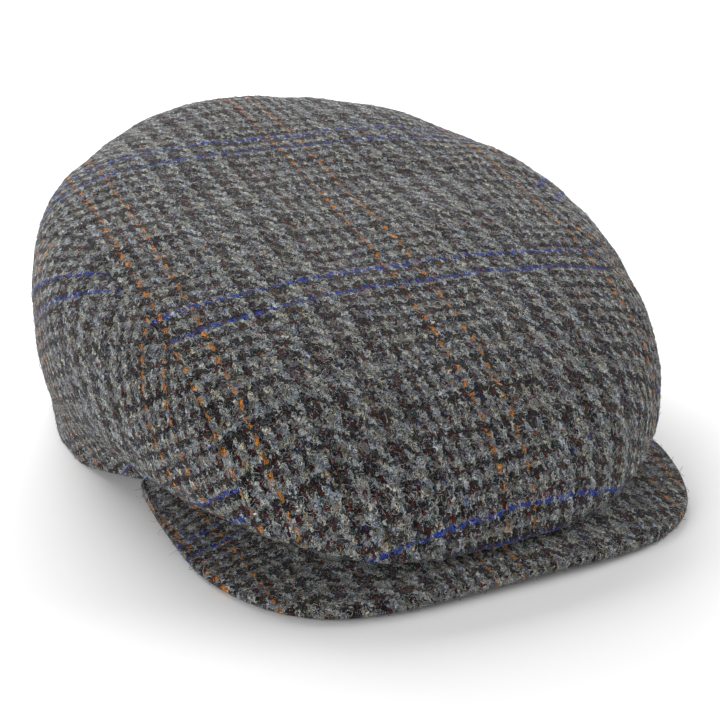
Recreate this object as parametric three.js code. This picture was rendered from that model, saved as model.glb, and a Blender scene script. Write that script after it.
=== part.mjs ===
// A soft flat cap of check tweed: one long oval top panel, two side panels and a stiffened peak.
// Millimetres, +Z up, with the peak towards -Y. The cap stands on the back of its rim and on its peak.
// Angles go round the head from the front, positive towards +X. Reach runs down the crown's outer face:
// 0 at the middle of the top, 1 at the crown's widest line and 2 at the rim.
import * as THREE from "three";

const CLOTH_THICKNESS = 2; // tweed with its lining, sewn together
const SEAM_GAP = 0.3; // room left between neighbouring pieces

// Rim, which is the head opening, measured outside the cloth
const HEAD_WIDTH = 189.3;
const HEAD_LENGTH = 194.4;
const HEAD_FRONT_SQUARENESS = 2.1; // 2 is an ellipse, more is squarer
const HEAD_BACK_SQUARENESS = 2.21;
const RIM_LIFT = 21.4; // how high the peak holds the front of the rim
const RIM_FLAT = 0.54; // share of the opening's length, from the back, that lies on the surface
const RIM_CLIMB = 1.03; // how gently the rim leaves the surface

// Peak
const PEAK_THICKNESS = 4.6;
const PEAK_WIDTH = 189.1;
const PEAK_REACH = 60.7; // from the front of the rim to the peak's front edge
const PEAK_ARCH = 2.6; // how far the middle of the front edge stands above its corners
const PEAK_ARCH_SPAN = 0.9; // share of the peak's width that arches up
const PEAK_PRESS = 0.6; // how far its cloth is flattened where its corners rest
const PEAK_SQUARENESS = 3.74;
const PEAK_CORNER_ANGLE = 64.4; // where the peak leaves the rim

// Crown
const CROWN_WIDTH = 211.8;
const CROWN_FRONT_LENGTH = 132.4; // from the crown's middle to the fold over the peak
const CROWN_BACK_LENGTH = 117.8;
const CROWN_FORWARD = 16.7; // how far the crown's middle lies in front of the head opening's
const CROWN_HEIGHT = 36.9; // height of the widest line's plane at the crown's middle
const CROWN_RISE = 47.4; // height of the top above that plane
const CROWN_SLOPE = 0.11; // fall of the top per millimetre towards the peak
const FOLD_CLEARANCE = 5.4; // from the peak's top to the widest line of the front fold
const FRONT_SQUARENESS = 2.42;
const BACK_SQUARENESS = 1.96;
const TOP_FLATNESS = 2.48;
const TOP_ROUNDING = 2.8;

// The front fold hangs over the peak, whose top climbs from its front edge to the rim
const foldToEdge = HEAD_LENGTH / 2 + PEAK_REACH - CROWN_FORWARD - CROWN_FRONT_LENGTH;
const peakFrontTop = PEAK_THICKNESS - PEAK_PRESS + PEAK_ARCH;
const peakTopBelowFold = THREE.MathUtils.lerp(peakFrontTop, RIM_LIFT - SEAM_GAP, foldToEdge / PEAK_REACH);
const foldLift = peakTopBelowFold + FOLD_CLEARANCE - CROWN_HEIGHT + CROWN_SLOPE * CROWN_FRONT_LENGTH;

// Shape of the crown's wall at the front, sides and back, as shares of CROWN_RISE: how far the widest line
// is lifted, how far the cloth falls straight below it, and how far it stands upright above the rim
const WALL_SHAPE = {
  lift: { front: foldLift / CROWN_RISE, side: 0.2, back: 0.316 },
  fall: { front: 0.22, side: 0.43, back: 0.97 },
  upright: { front: 0.095, side: 0.39, back: 0.08 },
};

// Seam between the top panel and the side panels, from the front of the rim round to the centre back
const TOP_SEAM = [
  { angle: 30, reach: 2.0 },
  { angle: 33.5, reach: 1.5 },
  { angle: 36.5, reach: 1.15 },
  { angle: 39.5, reach: 0.95 },
  { angle: 43, reach: 0.86 },
  { angle: 48, reach: 0.735 },
  { angle: 55, reach: 0.64 },
  { angle: 65, reach: 0.58 },
  { angle: 77, reach: 0.56 },
  { angle: 89, reach: 0.56 },
  { angle: 100, reach: 0.56 },
  { angle: 108, reach: 0.59 },
  { angle: 114.5, reach: 0.7 },
  { angle: 121, reach: 0.84 },
  { angle: 135, reach: 0.9 },
  { angle: 157, reach: 0.91 },
  { angle: 180, reach: 0.91 },
];

// Faceting
const SEAM_STEPS = 42; // columns of cloth along each side of the top seam
const FRONT_STEPS = 14; // columns across the front, between the ends of the seam
const TOP_ROWS = 14;
const RING_COURSE = { front: 1.5, side: 0.6, back: 0.9 }; // reach that the inner rings head for
const SIDE_ROWS_ABOVE = 4;
const SIDE_ROWS_BELOW = 9;
const SIDE_TIP_STEP = 2; // the side panels start this many columns along the seam
const PEAK_COLUMNS = 36;
const PEAK_ROWS = 5;
const PEAK_EDGE_STEPS = 4;

const DERIVATIVE_STEP = 1e-3;
const crownY = -CROWN_FORWARD;

/** A quantity at an angle round the head, blended from its front, side and back values. */
function around(angle, { front, side, back }) {
  const along = Math.cos(angle) ** 2;
  return side * (1 - along) + (Math.cos(angle) > 0 ? front : back) * along;
}

/** Point of an oval in plan, whose front and back have their own length and squareness. */
function oval(angle, halfWidth, front, back) {
  const across = Math.sin(angle);
  const along = -Math.cos(angle);
  const { length, squareness } = along < 0 ? front : back;
  const sum = Math.abs(across / halfWidth) ** squareness + Math.abs(along / length) ** squareness;
  const radius = sum ** (-1 / squareness);
  return new THREE.Vector2(radius * across, radius * along);
}

/** Point of the rim, a given distance inside its outer face. */
function rimPoint(angle, inside = 0) {
  const length = HEAD_LENGTH / 2 - inside;
  const front = { length, squareness: HEAD_FRONT_SQUARENESS };
  const back = { length, squareness: HEAD_BACK_SQUARENESS };
  const plan = oval(angle, HEAD_WIDTH / 2 - inside, front, back);
  const forward = 0.5 - plan.y / (2 * length);
  const climb = Math.max(0, (forward - RIM_FLAT) / (1 - RIM_FLAT));
  return new THREE.Vector3(plan.x, plan.y, RIM_LIFT * climb ** RIM_CLIMB);
}

/** Point of the crown's outer face. */
function crownPoint(angle, reach) {
  const front = { length: CROWN_FRONT_LENGTH, squareness: FRONT_SQUARENESS };
  const back = { length: CROWN_BACK_LENGTH, squareness: BACK_SQUARENESS };
  const edge = oval(angle, CROWN_WIDTH / 2, front, back);
  const turn = (Math.min(reach, 1) * Math.PI) / 2;
  const spread = Math.sin(turn) ** (2 / TOP_FLATNESS);
  const bulge = Math.max(Math.cos(turn), 0) ** (2 / TOP_ROUNDING);
  const lift = spread ** 2 * around(angle, WALL_SHAPE.lift);
  const point = new THREE.Vector3(
    spread * edge.x,
    crownY + spread * edge.y,
    CROWN_HEIGHT + CROWN_SLOPE * spread * edge.y + CROWN_RISE * (bulge + lift),
  );
  if (reach <= 1) {
    return point;
  }
  const rim = rimPoint(angle);
  const below = point.clone();
  below.z -= CROWN_RISE * around(angle, WALL_SHAPE.fall);
  const above = rim.clone();
  above.z += CROWN_RISE * around(angle, WALL_SHAPE.upright);
  return new THREE.CubicBezierCurve3(point, below, above, rim).getPoint(reach - 1);
}

/** The two tangents of the crown's outer face, round the head and down towards the rim. */
function crownTangents(angle, reach) {
  const step = DERIVATIVE_STEP;
  const round = crownPoint(angle + step, reach).sub(crownPoint(angle - step, reach));
  const down = crownPoint(angle, Math.min(reach + step, 2)).sub(crownPoint(angle, reach - step));
  const span = Math.min(reach + step, 2) - (reach - step);
  return { round: round.divideScalar(2 * step), down: down.divideScalar(span) };
}

/** Outward normal of the crown. */
function crownNormal(angle, reach) {
  if (reach < 2 * DERIVATIVE_STEP) {
    return new THREE.Vector3(0, -CROWN_SLOPE, 1).normalize();
  }
  const { round, down } = crownTangents(angle, reach);
  return down.cross(round).normalize();
}

/** Point of the crown's cloth: 0 deep is the outer face and 1 deep is the inner one. */
function clothPoint({ angle, reach }, depth) {
  const outer = crownPoint(angle, reach);
  const inner = outer.clone().addScaledVector(crownNormal(angle, reach), -CLOTH_THICKNESS * depth);
  if (reach >= 2) {
    inner.z = outer.z; // the rim's cut edge is level across the cloth
  }
  return inner;
}

/** Places on the top seam, from the front of the rim to the centre back. */
function seamPlaces() {
  const rows = TOP_SEAM.map(({ angle, reach }) => new THREE.Vector2(THREE.MathUtils.degToRad(angle), reach));
  const curve = new THREE.SplineCurve(rows);
  return curve.getPoints(SEAM_STEPS).map(({ x, y }) => ({ angle: x, reach: Math.min(y, 2) }));
}

/** A seam place moved off the top panel's edge, across the seam, by the seam gap. */
function acrossSeam(places, index) {
  const here = places[index];
  const before = places[Math.max(index - 1, 0)];
  const after = places[Math.min(index + 1, places.length - 1)];
  const along = crownPoint(after.angle, after.reach).sub(crownPoint(before.angle, before.reach));
  const across = along.cross(crownNormal(here.angle, here.reach)).setLength(SEAM_GAP);
  const { round, down } = crownTangents(here.angle, here.reach);
  const [roundRound, roundDown, downDown] = [round.dot(round), round.dot(down), down.dot(down)];
  const [wantRound, wantDown] = [across.dot(round), across.dot(down)];
  const scale = roundRound * downDown - roundDown ** 2;
  return {
    angle: here.angle + (wantRound * downDown - wantDown * roundDown) / scale,
    reach: Math.min(here.reach + (wantDown * roundRound - wantRound * roundDown) / scale, 2),
  };
}

/** Closed mesh from a list of points and triangles whose first winding faces outward. */
function solid(name, points, triangles, material) {
  const geometry = new THREE.BufferGeometry();
  geometry.setAttribute("position", new THREE.Float32BufferAttribute(points.flatMap((p) => p.toArray()), 3));
  geometry.setIndex(triangles.flat());
  geometry.computeVertexNormals();
  const mesh = new THREE.Mesh(geometry, material);
  mesh.name = name;
  return mesh;
}

/** The two triangles of a quad, cut along its shorter diagonal. */
function quad(points, [a, b, c, d]) {
  if (points[a].distanceToSquared(points[c]) <= points[b].distanceToSquared(points[d])) {
    return [[a, b, c], [a, c, d]];
  }
  return [[a, b, d], [b, c, d]];
}

/** Reach of a ring of the top panel: inner rings keep an even course, and the last one is the border. */
function ringReach({ angle, reach }, share) {
  return share * THREE.MathUtils.lerp(around(angle, RING_COURSE), reach, share);
}

/** The top panel: rings of cloth round the middle of the crown, out to the seam and the front of the rim. */
function topPanel(material) {
  const seam = seamPlaces();
  const frontAngle = seam[0].angle;
  const border = [];
  for (let i = 1; i < FRONT_STEPS; i += 1) {
    border.push({ angle: frontAngle * ((2 * i) / FRONT_STEPS - 1), reach: 2 });
  }
  border.push(...seam);
  border.push(...seam.slice(0, -1).reverse().map(({ angle, reach }) => ({ angle: 2 * Math.PI - angle, reach })));
  const points = [];
  const triangles = [];
  const place = (row, column, depth) => 2 + (row - 1) * 2 * border.length + depth * border.length
    + (column % border.length);
  for (const depth of [0, 1]) {
    points.push(clothPoint({ angle: 0, reach: 0 }, depth));
  }
  for (let row = 1; row <= TOP_ROWS; row += 1) {
    for (const depth of [0, 1]) {
      points.push(...border.map((edge) => {
        return clothPoint({ angle: edge.angle, reach: ringReach(edge, row / TOP_ROWS) }, depth);
      }));
    }
  }
  border.forEach((_, column) => {
    triangles.push([0, place(1, column, 0), place(1, column + 1, 0)]);
    triangles.push([1, place(1, column + 1, 1), place(1, column, 1)]);
    for (let row = 1; row < TOP_ROWS; row += 1) {
      const [near, far] = [row, row + 1];
      triangles.push(...quad(points, [place(near, column, 0), place(far, column, 0),
        place(far, column + 1, 0), place(near, column + 1, 0)]));
      triangles.push(...quad(points, [place(near, column + 1, 1), place(far, column + 1, 1),
        place(far, column, 1), place(near, column, 1)]));
    }
    triangles.push(...quad(points, [place(TOP_ROWS, column, 0), place(TOP_ROWS, column, 1),
      place(TOP_ROWS, column + 1, 1), place(TOP_ROWS, column + 1, 0)]));
  });
  return solid("top_panel", points, triangles, material);
}

/** One side panel, from the top seam down to the rim. Side is 1 on the wearer's left and -1 on the right. */
function sidePanel(name, side, material) {
  const seam = seamPlaces();
  const backGap = SEAM_GAP / 2 / CROWN_BACK_LENGTH; // half the centre-back seam's gap, as an angle
  const columns = [];
  for (let i = SIDE_TIP_STEP; i < seam.length; i += 1) {
    const top = acrossSeam(seam, i);
    top.angle = Math.min(top.angle, Math.PI - backGap);
    columns.push(top);
  }
  columns[columns.length - 1].angle = Math.PI - backGap;
  const rows = SIDE_ROWS_ABOVE + SIDE_ROWS_BELOW;
  const cellPlace = (top, row) => {
    const middle = Math.max(top.reach, 1);
    if (top.reach < 1 && row <= SIDE_ROWS_ABOVE) {
      return top.reach + ((middle - top.reach) * row) / SIDE_ROWS_ABOVE;
    }
    const first = top.reach < 1 ? SIDE_ROWS_ABOVE : 0;
    return middle + ((2 - middle) * (row - first)) / (rows - first);
  };
  const points = [];
  const triangles = [];
  for (const depth of [0, 1]) {
    for (const top of columns) {
      for (let row = 0; row <= rows; row += 1) {
        const point = clothPoint({ angle: top.angle, reach: cellPlace(top, row) }, depth);
        point.x *= side;
        points.push(point);
      }
    }
  }
  const place = (column, row, depth) => (depth * columns.length + column) * (rows + 1) + row;
  const last = columns.length - 1;
  for (let column = 0; column < last; column += 1) {
    const next = column + 1;
    for (let row = 0; row < rows; row += 1) {
      const below = row + 1;
      triangles.push(...quad(points, [place(column, row, 0), place(column, below, 0),
        place(next, below, 0), place(next, row, 0)]));
      triangles.push(...quad(points, [place(next, row, 1), place(next, below, 1),
        place(column, below, 1), place(column, row, 1)]));
    }
    triangles.push(...quad(points, [place(column, 0, 1), place(column, 0, 0),
      place(next, 0, 0), place(next, 0, 1)]));
    triangles.push(...quad(points, [place(column, rows, 0), place(column, rows, 1),
      place(next, rows, 1), place(next, rows, 0)]));
  }
  for (let row = 0; row < rows; row += 1) {
    const below = row + 1;
    triangles.push(...quad(points, [place(0, row, 1), place(0, below, 1),
      place(0, below, 0), place(0, row, 0)]));
    triangles.push(...quad(points, [place(last, row, 0), place(last, below, 0),
      place(last, below, 1), place(last, row, 1)]));
  }
  const facing = side > 0 ? triangles : triangles.map(([a, b, c]) => [a, c, b]);
  return solid(name, points, facing, material);
}

/** Point of the peak's middle sheet: 0 out is its inner edge under the rim and 1 out is its free edge. */
function peakSheetPoint(share, out) {
  const cornerAngle = THREE.MathUtils.degToRad(PEAK_CORNER_ANGLE);
  const seat = SEAM_GAP + PEAK_THICKNESS / 2;
  const inner = rimPoint(share * cornerAngle, CLOTH_THICKNESS);
  inner.z -= seat;
  const corner = rimPoint(cornerAngle, -SEAM_GAP);
  const turn = (share * Math.PI) / 2;
  const across = Math.sign(share) * Math.abs(Math.sin(turn)) ** (2 / PEAK_SQUARENESS);
  const forward = Math.max(Math.cos(turn), 0) ** (2 / PEAK_SQUARENESS);
  const flare = Math.min(forward * 2, 1) ** 0.7;
  const arch = Math.max(0, 1 - (across / PEAK_ARCH_SPAN) ** 2);
  const frontY = -HEAD_LENGTH / 2 - PEAK_REACH;
  const cornerZ = corner.z - seat;
  const low = PEAK_THICKNESS / 2 - PEAK_PRESS;
  const outer = new THREE.Vector3(
    across * THREE.MathUtils.lerp(corner.x, PEAK_WIDTH / 2, flare),
    THREE.MathUtils.lerp(corner.y, frontY, forward),
    low + (cornerZ - low) * (1 - forward) ** 2.5 + PEAK_ARCH * arch ** 1.5,
  );
  return inner.lerp(outer, out);
}

/** The stiffened peak: one flat curved piece with a soft rolled edge. */
function peak(material) {
  const half = PEAK_THICKNESS / 2;
  const section = []; // places round the peak's section: how far out, and how far above the middle sheet
  for (let row = 0; row <= PEAK_ROWS; row += 1) {
    section.push({ out: row / PEAK_ROWS, roll: 0, above: half });
  }
  for (let step = 1; step < PEAK_EDGE_STEPS; step += 1) {
    const turn = Math.PI * (0.5 - step / PEAK_EDGE_STEPS);
    section.push({ out: 1, roll: half * Math.cos(turn), above: half * Math.sin(turn) });
  }
  for (let row = PEAK_ROWS; row >= 0; row -= 1) {
    section.push({ out: row / PEAK_ROWS, roll: 0, above: -half });
  }
  const points = [];
  const step = DERIVATIVE_STEP;
  for (let column = 0; column <= PEAK_COLUMNS; column += 1) {
    const share = (2 * column) / PEAK_COLUMNS - 1;
    const inner = peakSheetPoint(share, 0);
    const width = peakSheetPoint(share, 1).distanceTo(inner);
    for (const { out, roll, above } of section) {
      const place = out * (1 - half / width); // the rolled edge is what is left of the width
      const outward = peakSheetPoint(share, 1).sub(inner).normalize();
      const [left, right] = [Math.max(share - step, -1), Math.min(share + step, 1)];
      const along = peakSheetPoint(right, place).sub(peakSheetPoint(left, place));
      const normal = outward.clone().cross(along).normalize();
      const point = peakSheetPoint(share, place).addScaledVector(outward, roll);
      point.addScaledVector(normal, above);
      point.z = Math.max(point.z, 0);
      points.push(point);
    }
  }
  const triangles = [];
  const count = section.length;
  for (let column = 0; column < PEAK_COLUMNS; column += 1) {
    for (let i = 0; i < count; i += 1) {
      const next = (i + 1) % count;
      triangles.push(...quad(points, [column * count + i, column * count + next,
        (column + 1) * count + next, (column + 1) * count + i]));
    }
  }
  const ring = THREE.ShapeUtils.triangulateShape(section.map(({ out, roll, above }) => {
    return new THREE.Vector2(out * PEAK_REACH + roll, above);
  }), []);
  const end = PEAK_COLUMNS * count;
  for (const [a, b, c] of ring) {
    triangles.push([a, b, c]);
    triangles.push([end + a, end + c, end + b]);
  }
  return solid("peak", points, triangles, material);
}

const tweed = { roughness: 0.95, metalness: 0 };
const cap = new THREE.Group();
cap.add(topPanel(new THREE.MeshStandardMaterial({ color: "#6b696b", ...tweed })));
cap.add(sidePanel("side_panel_left", 1, new THREE.MeshStandardMaterial({ color: "#636163", ...tweed })));
cap.add(sidePanel("side_panel_right", -1, new THREE.MeshStandardMaterial({ color: "#5f5d5f", ...tweed })));
cap.add(peak(new THREE.MeshStandardMaterial({ color: "#565456", ...tweed })));

// The origin is the middle of the cap's length, on the surface that it stands on
const length = new THREE.Box3().setFromObject(cap);
cap.position.y = -(length.min.y + length.max.y) / 2;

export default cap;
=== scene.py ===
"""The looks of a soft flat cap of check tweed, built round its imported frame.

Blender's units are metres. Sizes here are millimetres until a mesh is made, because cloth is measured so.
+Z is up and the peak points to -Y. Angles go round the head from the front, positive towards +X, and reach
runs down the crown: 0 in the middle of the top, 1 at the widest line and 2 at the rim.
"""
import logging
import math
from dataclasses import dataclass, field
from enum import Enum
from functools import partial

import bmesh
import bpy
import numpy as np
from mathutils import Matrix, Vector


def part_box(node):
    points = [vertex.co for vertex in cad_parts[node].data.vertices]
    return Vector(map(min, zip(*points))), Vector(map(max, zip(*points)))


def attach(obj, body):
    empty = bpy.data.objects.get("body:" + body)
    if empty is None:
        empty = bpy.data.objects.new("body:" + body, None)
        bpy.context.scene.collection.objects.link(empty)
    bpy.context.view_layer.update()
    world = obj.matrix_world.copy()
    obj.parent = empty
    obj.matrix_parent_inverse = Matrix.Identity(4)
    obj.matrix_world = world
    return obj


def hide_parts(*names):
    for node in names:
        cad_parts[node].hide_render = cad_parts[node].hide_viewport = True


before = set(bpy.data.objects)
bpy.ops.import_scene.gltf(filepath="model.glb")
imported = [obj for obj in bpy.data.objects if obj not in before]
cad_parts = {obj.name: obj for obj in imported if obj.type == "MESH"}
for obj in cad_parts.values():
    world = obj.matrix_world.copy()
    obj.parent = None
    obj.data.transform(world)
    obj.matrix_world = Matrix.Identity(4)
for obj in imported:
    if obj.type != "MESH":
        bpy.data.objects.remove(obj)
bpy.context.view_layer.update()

MM = 0.001
CLOTH_MAP = "cloth"  # the map that gives each point its place in the woven cloth, in millimetres
TONE = "tone"  # the attribute that gives each stray fibre its colour

log = logging.getLogger("flat_cap")


class Side(Enum):
    """Which side of the wearer's head a panel covers."""

    RIGHT = -1
    LEFT = 1


def linear(code: str) -> tuple[float, float, float, float]:
    """Turn an sRGB hex colour into linear light.

    Args:
        code: The colour as "#rrggbb".

    Returns:
        The linear red, green, blue and an alpha of 1.
    """
    shares = [int(code[start : start + 2], 16) / 255 for start in (1, 3, 5)]
    light = [share / 12.92 if share <= 0.04045 else ((share + 0.055) / 1.055) ** 2.4 for share in shares]
    return (*light, 1.0)


def around(angle: np.ndarray, front: float, side: float, back: float) -> np.ndarray:
    """Blend a quantity round the head from its front, side and back values.

    Args:
        angle: Angles round the head.
        front: Value at the front.
        side: Value at both sides.
        back: Value at the back.

    Returns:
        The value at each angle.
    """
    along = np.cos(angle) ** 2
    return side * (1 - along) + np.where(np.cos(angle) > 0, front, back) * along


def oval(angle: np.ndarray, half_width: float, lengths: tuple[float, float],
         squareness: tuple[float, float]) -> np.ndarray:
    """Give points of an oval in plan, whose front and back differ.

    Args:
        angle: Angles round the head.
        half_width: Half of the oval's width.
        lengths: Its reach to the front and to the back.
        squareness: Its squareness at the front and at the back, where 2 is an ellipse.

    Returns:
        An array of x and y with the angles' shape before them.
    """
    across, along = np.sin(angle), -np.cos(angle)
    length = np.where(along < 0, *lengths)
    square = np.where(along < 0, *squareness)
    radius = (np.abs(across / half_width) ** square + np.abs(along / length) ** square) ** (-1 / square)
    return np.stack([radius * across, radius * along], -1)


def spline(rows: np.ndarray, count: int) -> np.ndarray:
    """Run a smooth curve through a table's rows.

    Args:
        rows: The rows that it passes.
        count: How many points it returns.

    Returns:
        Points spaced evenly between the rows.
    """
    place = np.linspace(0, len(rows) - 1, count)
    start = np.minimum(place.astype(int), len(rows) - 2)
    share = (place - start)[:, None]
    before, here, there, after = (rows[np.clip(start + step, 0, len(rows) - 1)] for step in (-1, 0, 1, 2))
    leave, arrive = (there - before) / 2, (after - here) / 2
    cubic = 2 * here - 2 * there + leave + arrive
    square = -3 * here + 3 * there - 2 * leave - arrive
    return ((cubic * share + square) * share + leave) * share + here


def lengths_along(points: np.ndarray) -> np.ndarray:
    """Measure polylines that run along the last axis but one.

    Args:
        points: Points, whose last axis is x, y and z.

    Returns:
        The length from each line's start to each of its points.
    """
    steps = np.linalg.norm(np.diff(points, axis=-2), axis=-1)
    return np.concatenate([np.zeros_like(steps[..., :1]), np.cumsum(steps, -1)], -1)


@dataclass(frozen=True)
class Waves:
    """Smooth unevenness of a cloth, as a sum of plane waves in random directions."""

    seed: int
    wavelength: float
    height: float
    count: int = 14

    def at(self, points: np.ndarray) -> np.ndarray:
        """Give the unevenness at points.

        Args:
            points: Places in millimetres.

        Returns:
            A height for each point, mostly within the waves' height either way.
        """
        rng = np.random.default_rng(self.seed)
        heading = rng.normal(size=(self.count, 3))
        heading /= np.linalg.norm(heading, axis=1, keepdims=True)
        stretch = rng.uniform(0.7, 1.4, self.count) * 2 * math.pi / self.wavelength
        phase = rng.uniform(0, 2 * math.pi, self.count)
        total = np.zeros(points.shape[:-1])
        for direction, start in zip(heading * stretch[:, None], phase):
            total += np.cos(points @ direction + start)
        return total * self.height / math.sqrt(self.count / 2)


@dataclass(frozen=True)
class Crown:
    """The form of the crown's outer face and of the rim, with the same sizes as the frame."""

    cloth: float = 2.0
    head_width: float = 189.3
    head_length: float = 194.4
    head_squareness: tuple[float, float] = (2.1, 2.21)
    rim_lift: float = 21.4
    rim_flat: float = 0.54
    rim_climb: float = 1.03
    width: float = 211.8
    front: float = 132.4
    back: float = 117.8
    forward: float = 16.7
    height: float = 36.9
    rise: float = 47.4
    slope: float = 0.11
    squareness: tuple[float, float] = (2.42, 1.96)
    flatness: float = 2.48
    rounding: float = 2.8
    lift: tuple[float, float, float] = (-0.174, 0.2, 0.316)
    fall: tuple[float, float, float] = (0.22, 0.43, 0.97)
    upright: tuple[float, float, float] = (0.095, 0.39, 0.08)
    step: float = 1e-3
    pole: float = 0.004  # the least reach that a normal is taken at

    def rim(self, angle: np.ndarray, inside: float = 0) -> np.ndarray:
        """Give points of the rim.

        Args:
            angle: Angles round the head.
            inside: How far inside the outer face they lie.

        Returns:
            Points in millimetres.
        """
        length = self.head_length / 2 - inside
        plan = oval(angle, self.head_width / 2 - inside, (length, length), self.head_squareness)
        ahead = 0.5 - plan[..., 1] / (2 * length)
        climb = np.maximum(0, (ahead - self.rim_flat) / (1 - self.rim_flat))
        return np.concatenate([plan, (self.rim_lift * climb**self.rim_climb)[..., None]], -1)

    def outer(self, angle: np.ndarray, reach: np.ndarray) -> np.ndarray:
        """Give points of the crown's outer face.

        Args:
            angle: Angles round the head.
            reach: Reaches down the crown, of the same shape.

        Returns:
            Points in millimetres.
        """
        edge = oval(angle, self.width / 2, (self.front, self.back), self.squareness)
        turn = np.minimum(reach, 1) * math.pi / 2
        spread = np.sin(turn) ** (2 / self.flatness)
        bulge = np.maximum(np.cos(turn), 0) ** (2 / self.rounding)
        plan = spread[..., None] * edge
        lift = spread**2 * around(angle, *self.lift)
        height = self.height + self.slope * plan[..., 1] + self.rise * (bulge + lift)
        dome = np.stack([plan[..., 0], plan[..., 1] - self.forward, height], -1)
        rim = self.rim(angle)
        up = np.array([0.0, 0.0, self.rise])
        below = dome - up * around(angle, *self.fall)[..., None]
        above = rim + up * around(angle, *self.upright)[..., None]
        part = np.clip(reach - 1, 0, 1)[..., None]
        rest = 1 - part
        return rest**3 * dome + 3 * rest**2 * part * below + 3 * rest * part**2 * above + part**3 * rim

    def normal(self, angle: np.ndarray, reach: np.ndarray) -> np.ndarray:
        """Give the outward normal at places of the crown.

        Args:
            angle: Angles round the head.
            reach: Reaches down the crown, of the same shape.

        Returns:
            Unit vectors.
        """
        step = self.step
        reach = np.maximum(reach, self.pole)
        turned = self.outer(angle + step, reach) - self.outer(angle - step, reach)
        lower = self.outer(angle, np.minimum(reach + step, 2)) - self.outer(angle, reach - step)
        out = np.cross(lower, turned)
        return out / np.linalg.norm(out, axis=-1, keepdims=True)

    def inner(self, angle: np.ndarray, reach: np.ndarray) -> np.ndarray:
        """Give points of the crown's inner face.

        Args:
            angle: Angles round the head.
            reach: Reaches down the crown, of the same shape.

        Returns:
            Points in millimetres. The rim's cut edge is level across the cloth.
        """
        outer = self.outer(angle, reach)
        inner = outer - self.cloth * self.normal(angle, reach)
        inner[..., 2] = np.where(reach >= 2, outer[..., 2], inner[..., 2])
        return inner


@dataclass(frozen=True)
class TopSeam:
    """The seam between the top panel and a side panel, from the front of the rim to the centre back."""

    places: tuple[tuple[float, float], ...] = (
        (30, 2.0), (33.5, 1.5), (36.5, 1.15), (39.5, 0.95), (43, 0.86), (48, 0.735), (55, 0.64), (65, 0.58),
        (77, 0.56), (89, 0.56), (100, 0.56), (108, 0.59), (114.5, 0.7), (121, 0.84), (135, 0.9), (157, 0.91),
        (180, 0.91),
    )
    samples: int = 1600

    def line(self) -> tuple[np.ndarray, np.ndarray]:
        """Give the seam's angles and reaches, closely spaced."""
        rows = spline(np.array(self.places), self.samples)
        return np.radians(rows[:, 0]), np.minimum(rows[:, 1], 2)


@dataclass(frozen=True)
class Hand:
    """How the cloth lies in the made-up cap: rolled at its seams, and a little uneven everywhere."""

    roll_width: float = 2.2
    roll_depth: float = 0.4
    dimples: Waves = Waves(seed=5, wavelength=62, height=0.55)
    ripples: Waves = Waves(seed=8, wavelength=19, height=0.16)
    nap: Waves = Waves(seed=13, wavelength=3.2, height=0.1, count=30)
    stiff: float = 0.35  # how much of the unevenness shows on the stiffened peak

    def roll(self, distance: np.ndarray) -> np.ndarray:
        """Tell how far the cloth has turned in near its edge.

        Args:
            distance: Distance from the edge in millimetres.

        Returns:
            Depth below the cloth's face.
        """
        share = np.clip(1 - distance / self.roll_width, 0, 1)
        return self.roll_depth * (1 - np.sqrt(1 - share**2))

    def unevenness(self, points: np.ndarray) -> np.ndarray:
        """Give the small rises and dips of the cloth's face at points."""
        return self.dimples.at(points) + self.ripples.at(points) + self.nap.at(points)


@dataclass(frozen=True)
class Check:
    """The thread plan of the glen check: coarse stripes, then fine ones with a pair of bright threads."""

    warp_pitch: float = 1.2
    weft_pitch: float = 1.3
    coarse_stripes: int = 4
    coarse_threads: int = 4
    fine_stripes: int = 9
    fine_threads: int = 2
    overcheck_apart: tuple[int, int] = (9, 7)  # threads from one bright thread to its pair, warp and weft

    @property
    def repeat(self) -> int:
        """How many threads one repeat has, in the warp and in the weft."""
        return 2 * (self.coarse_stripes * self.coarse_threads + self.fine_stripes * self.fine_threads)

    @property
    def overcheck(self) -> float:
        """Which thread the middle of the bright pair is."""
        return self.repeat - self.fine_stripes * self.fine_threads + 1.0

    def order(self, apart: int, pale: str, dark: str, bright: str) -> list[tuple[float, str]]:
        """List the threads of one repeat.

        Args:
            apart: How many threads lie from one bright thread to its pair.
            pale: Colour of the pale threads.
            dark: Colour of the dark threads.
            bright: Colour of the overcheck's pair.

        Returns:
            The share of the repeat where each run of like threads starts, with its colour.
        """
        half = [pale] * (self.coarse_threads // 2)
        coarse = half + [dark] * self.coarse_threads + half
        fine = [dark] * self.fine_threads + [pale] * self.fine_threads
        threads = coarse * self.coarse_stripes + fine * self.fine_stripes
        for side in (-1, 1):
            threads[int(self.overcheck + (side * apart - 1) / 2)] = bright
        starts = [at for at in range(len(threads)) if at == 0 or threads[at] != threads[at - 1]]
        return [(at / len(threads), threads[at]) for at in starts]

    def woven(self, across: np.ndarray, along: np.ndarray) -> np.ndarray:
        """Give places in the cloth as it was woven, before it was moulded.

        Args:
            across: Repeats across the warp, counted from the middle of a bright pair.
            along: Repeats along the warp, counted so too.

        Returns:
            Millimetres across the warp and along it.
        """
        return np.stack([(across * self.repeat + self.overcheck) * self.warp_pitch,
                         (along * self.repeat + self.overcheck) * self.weft_pitch], -1)


CHECK = Check()


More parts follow.
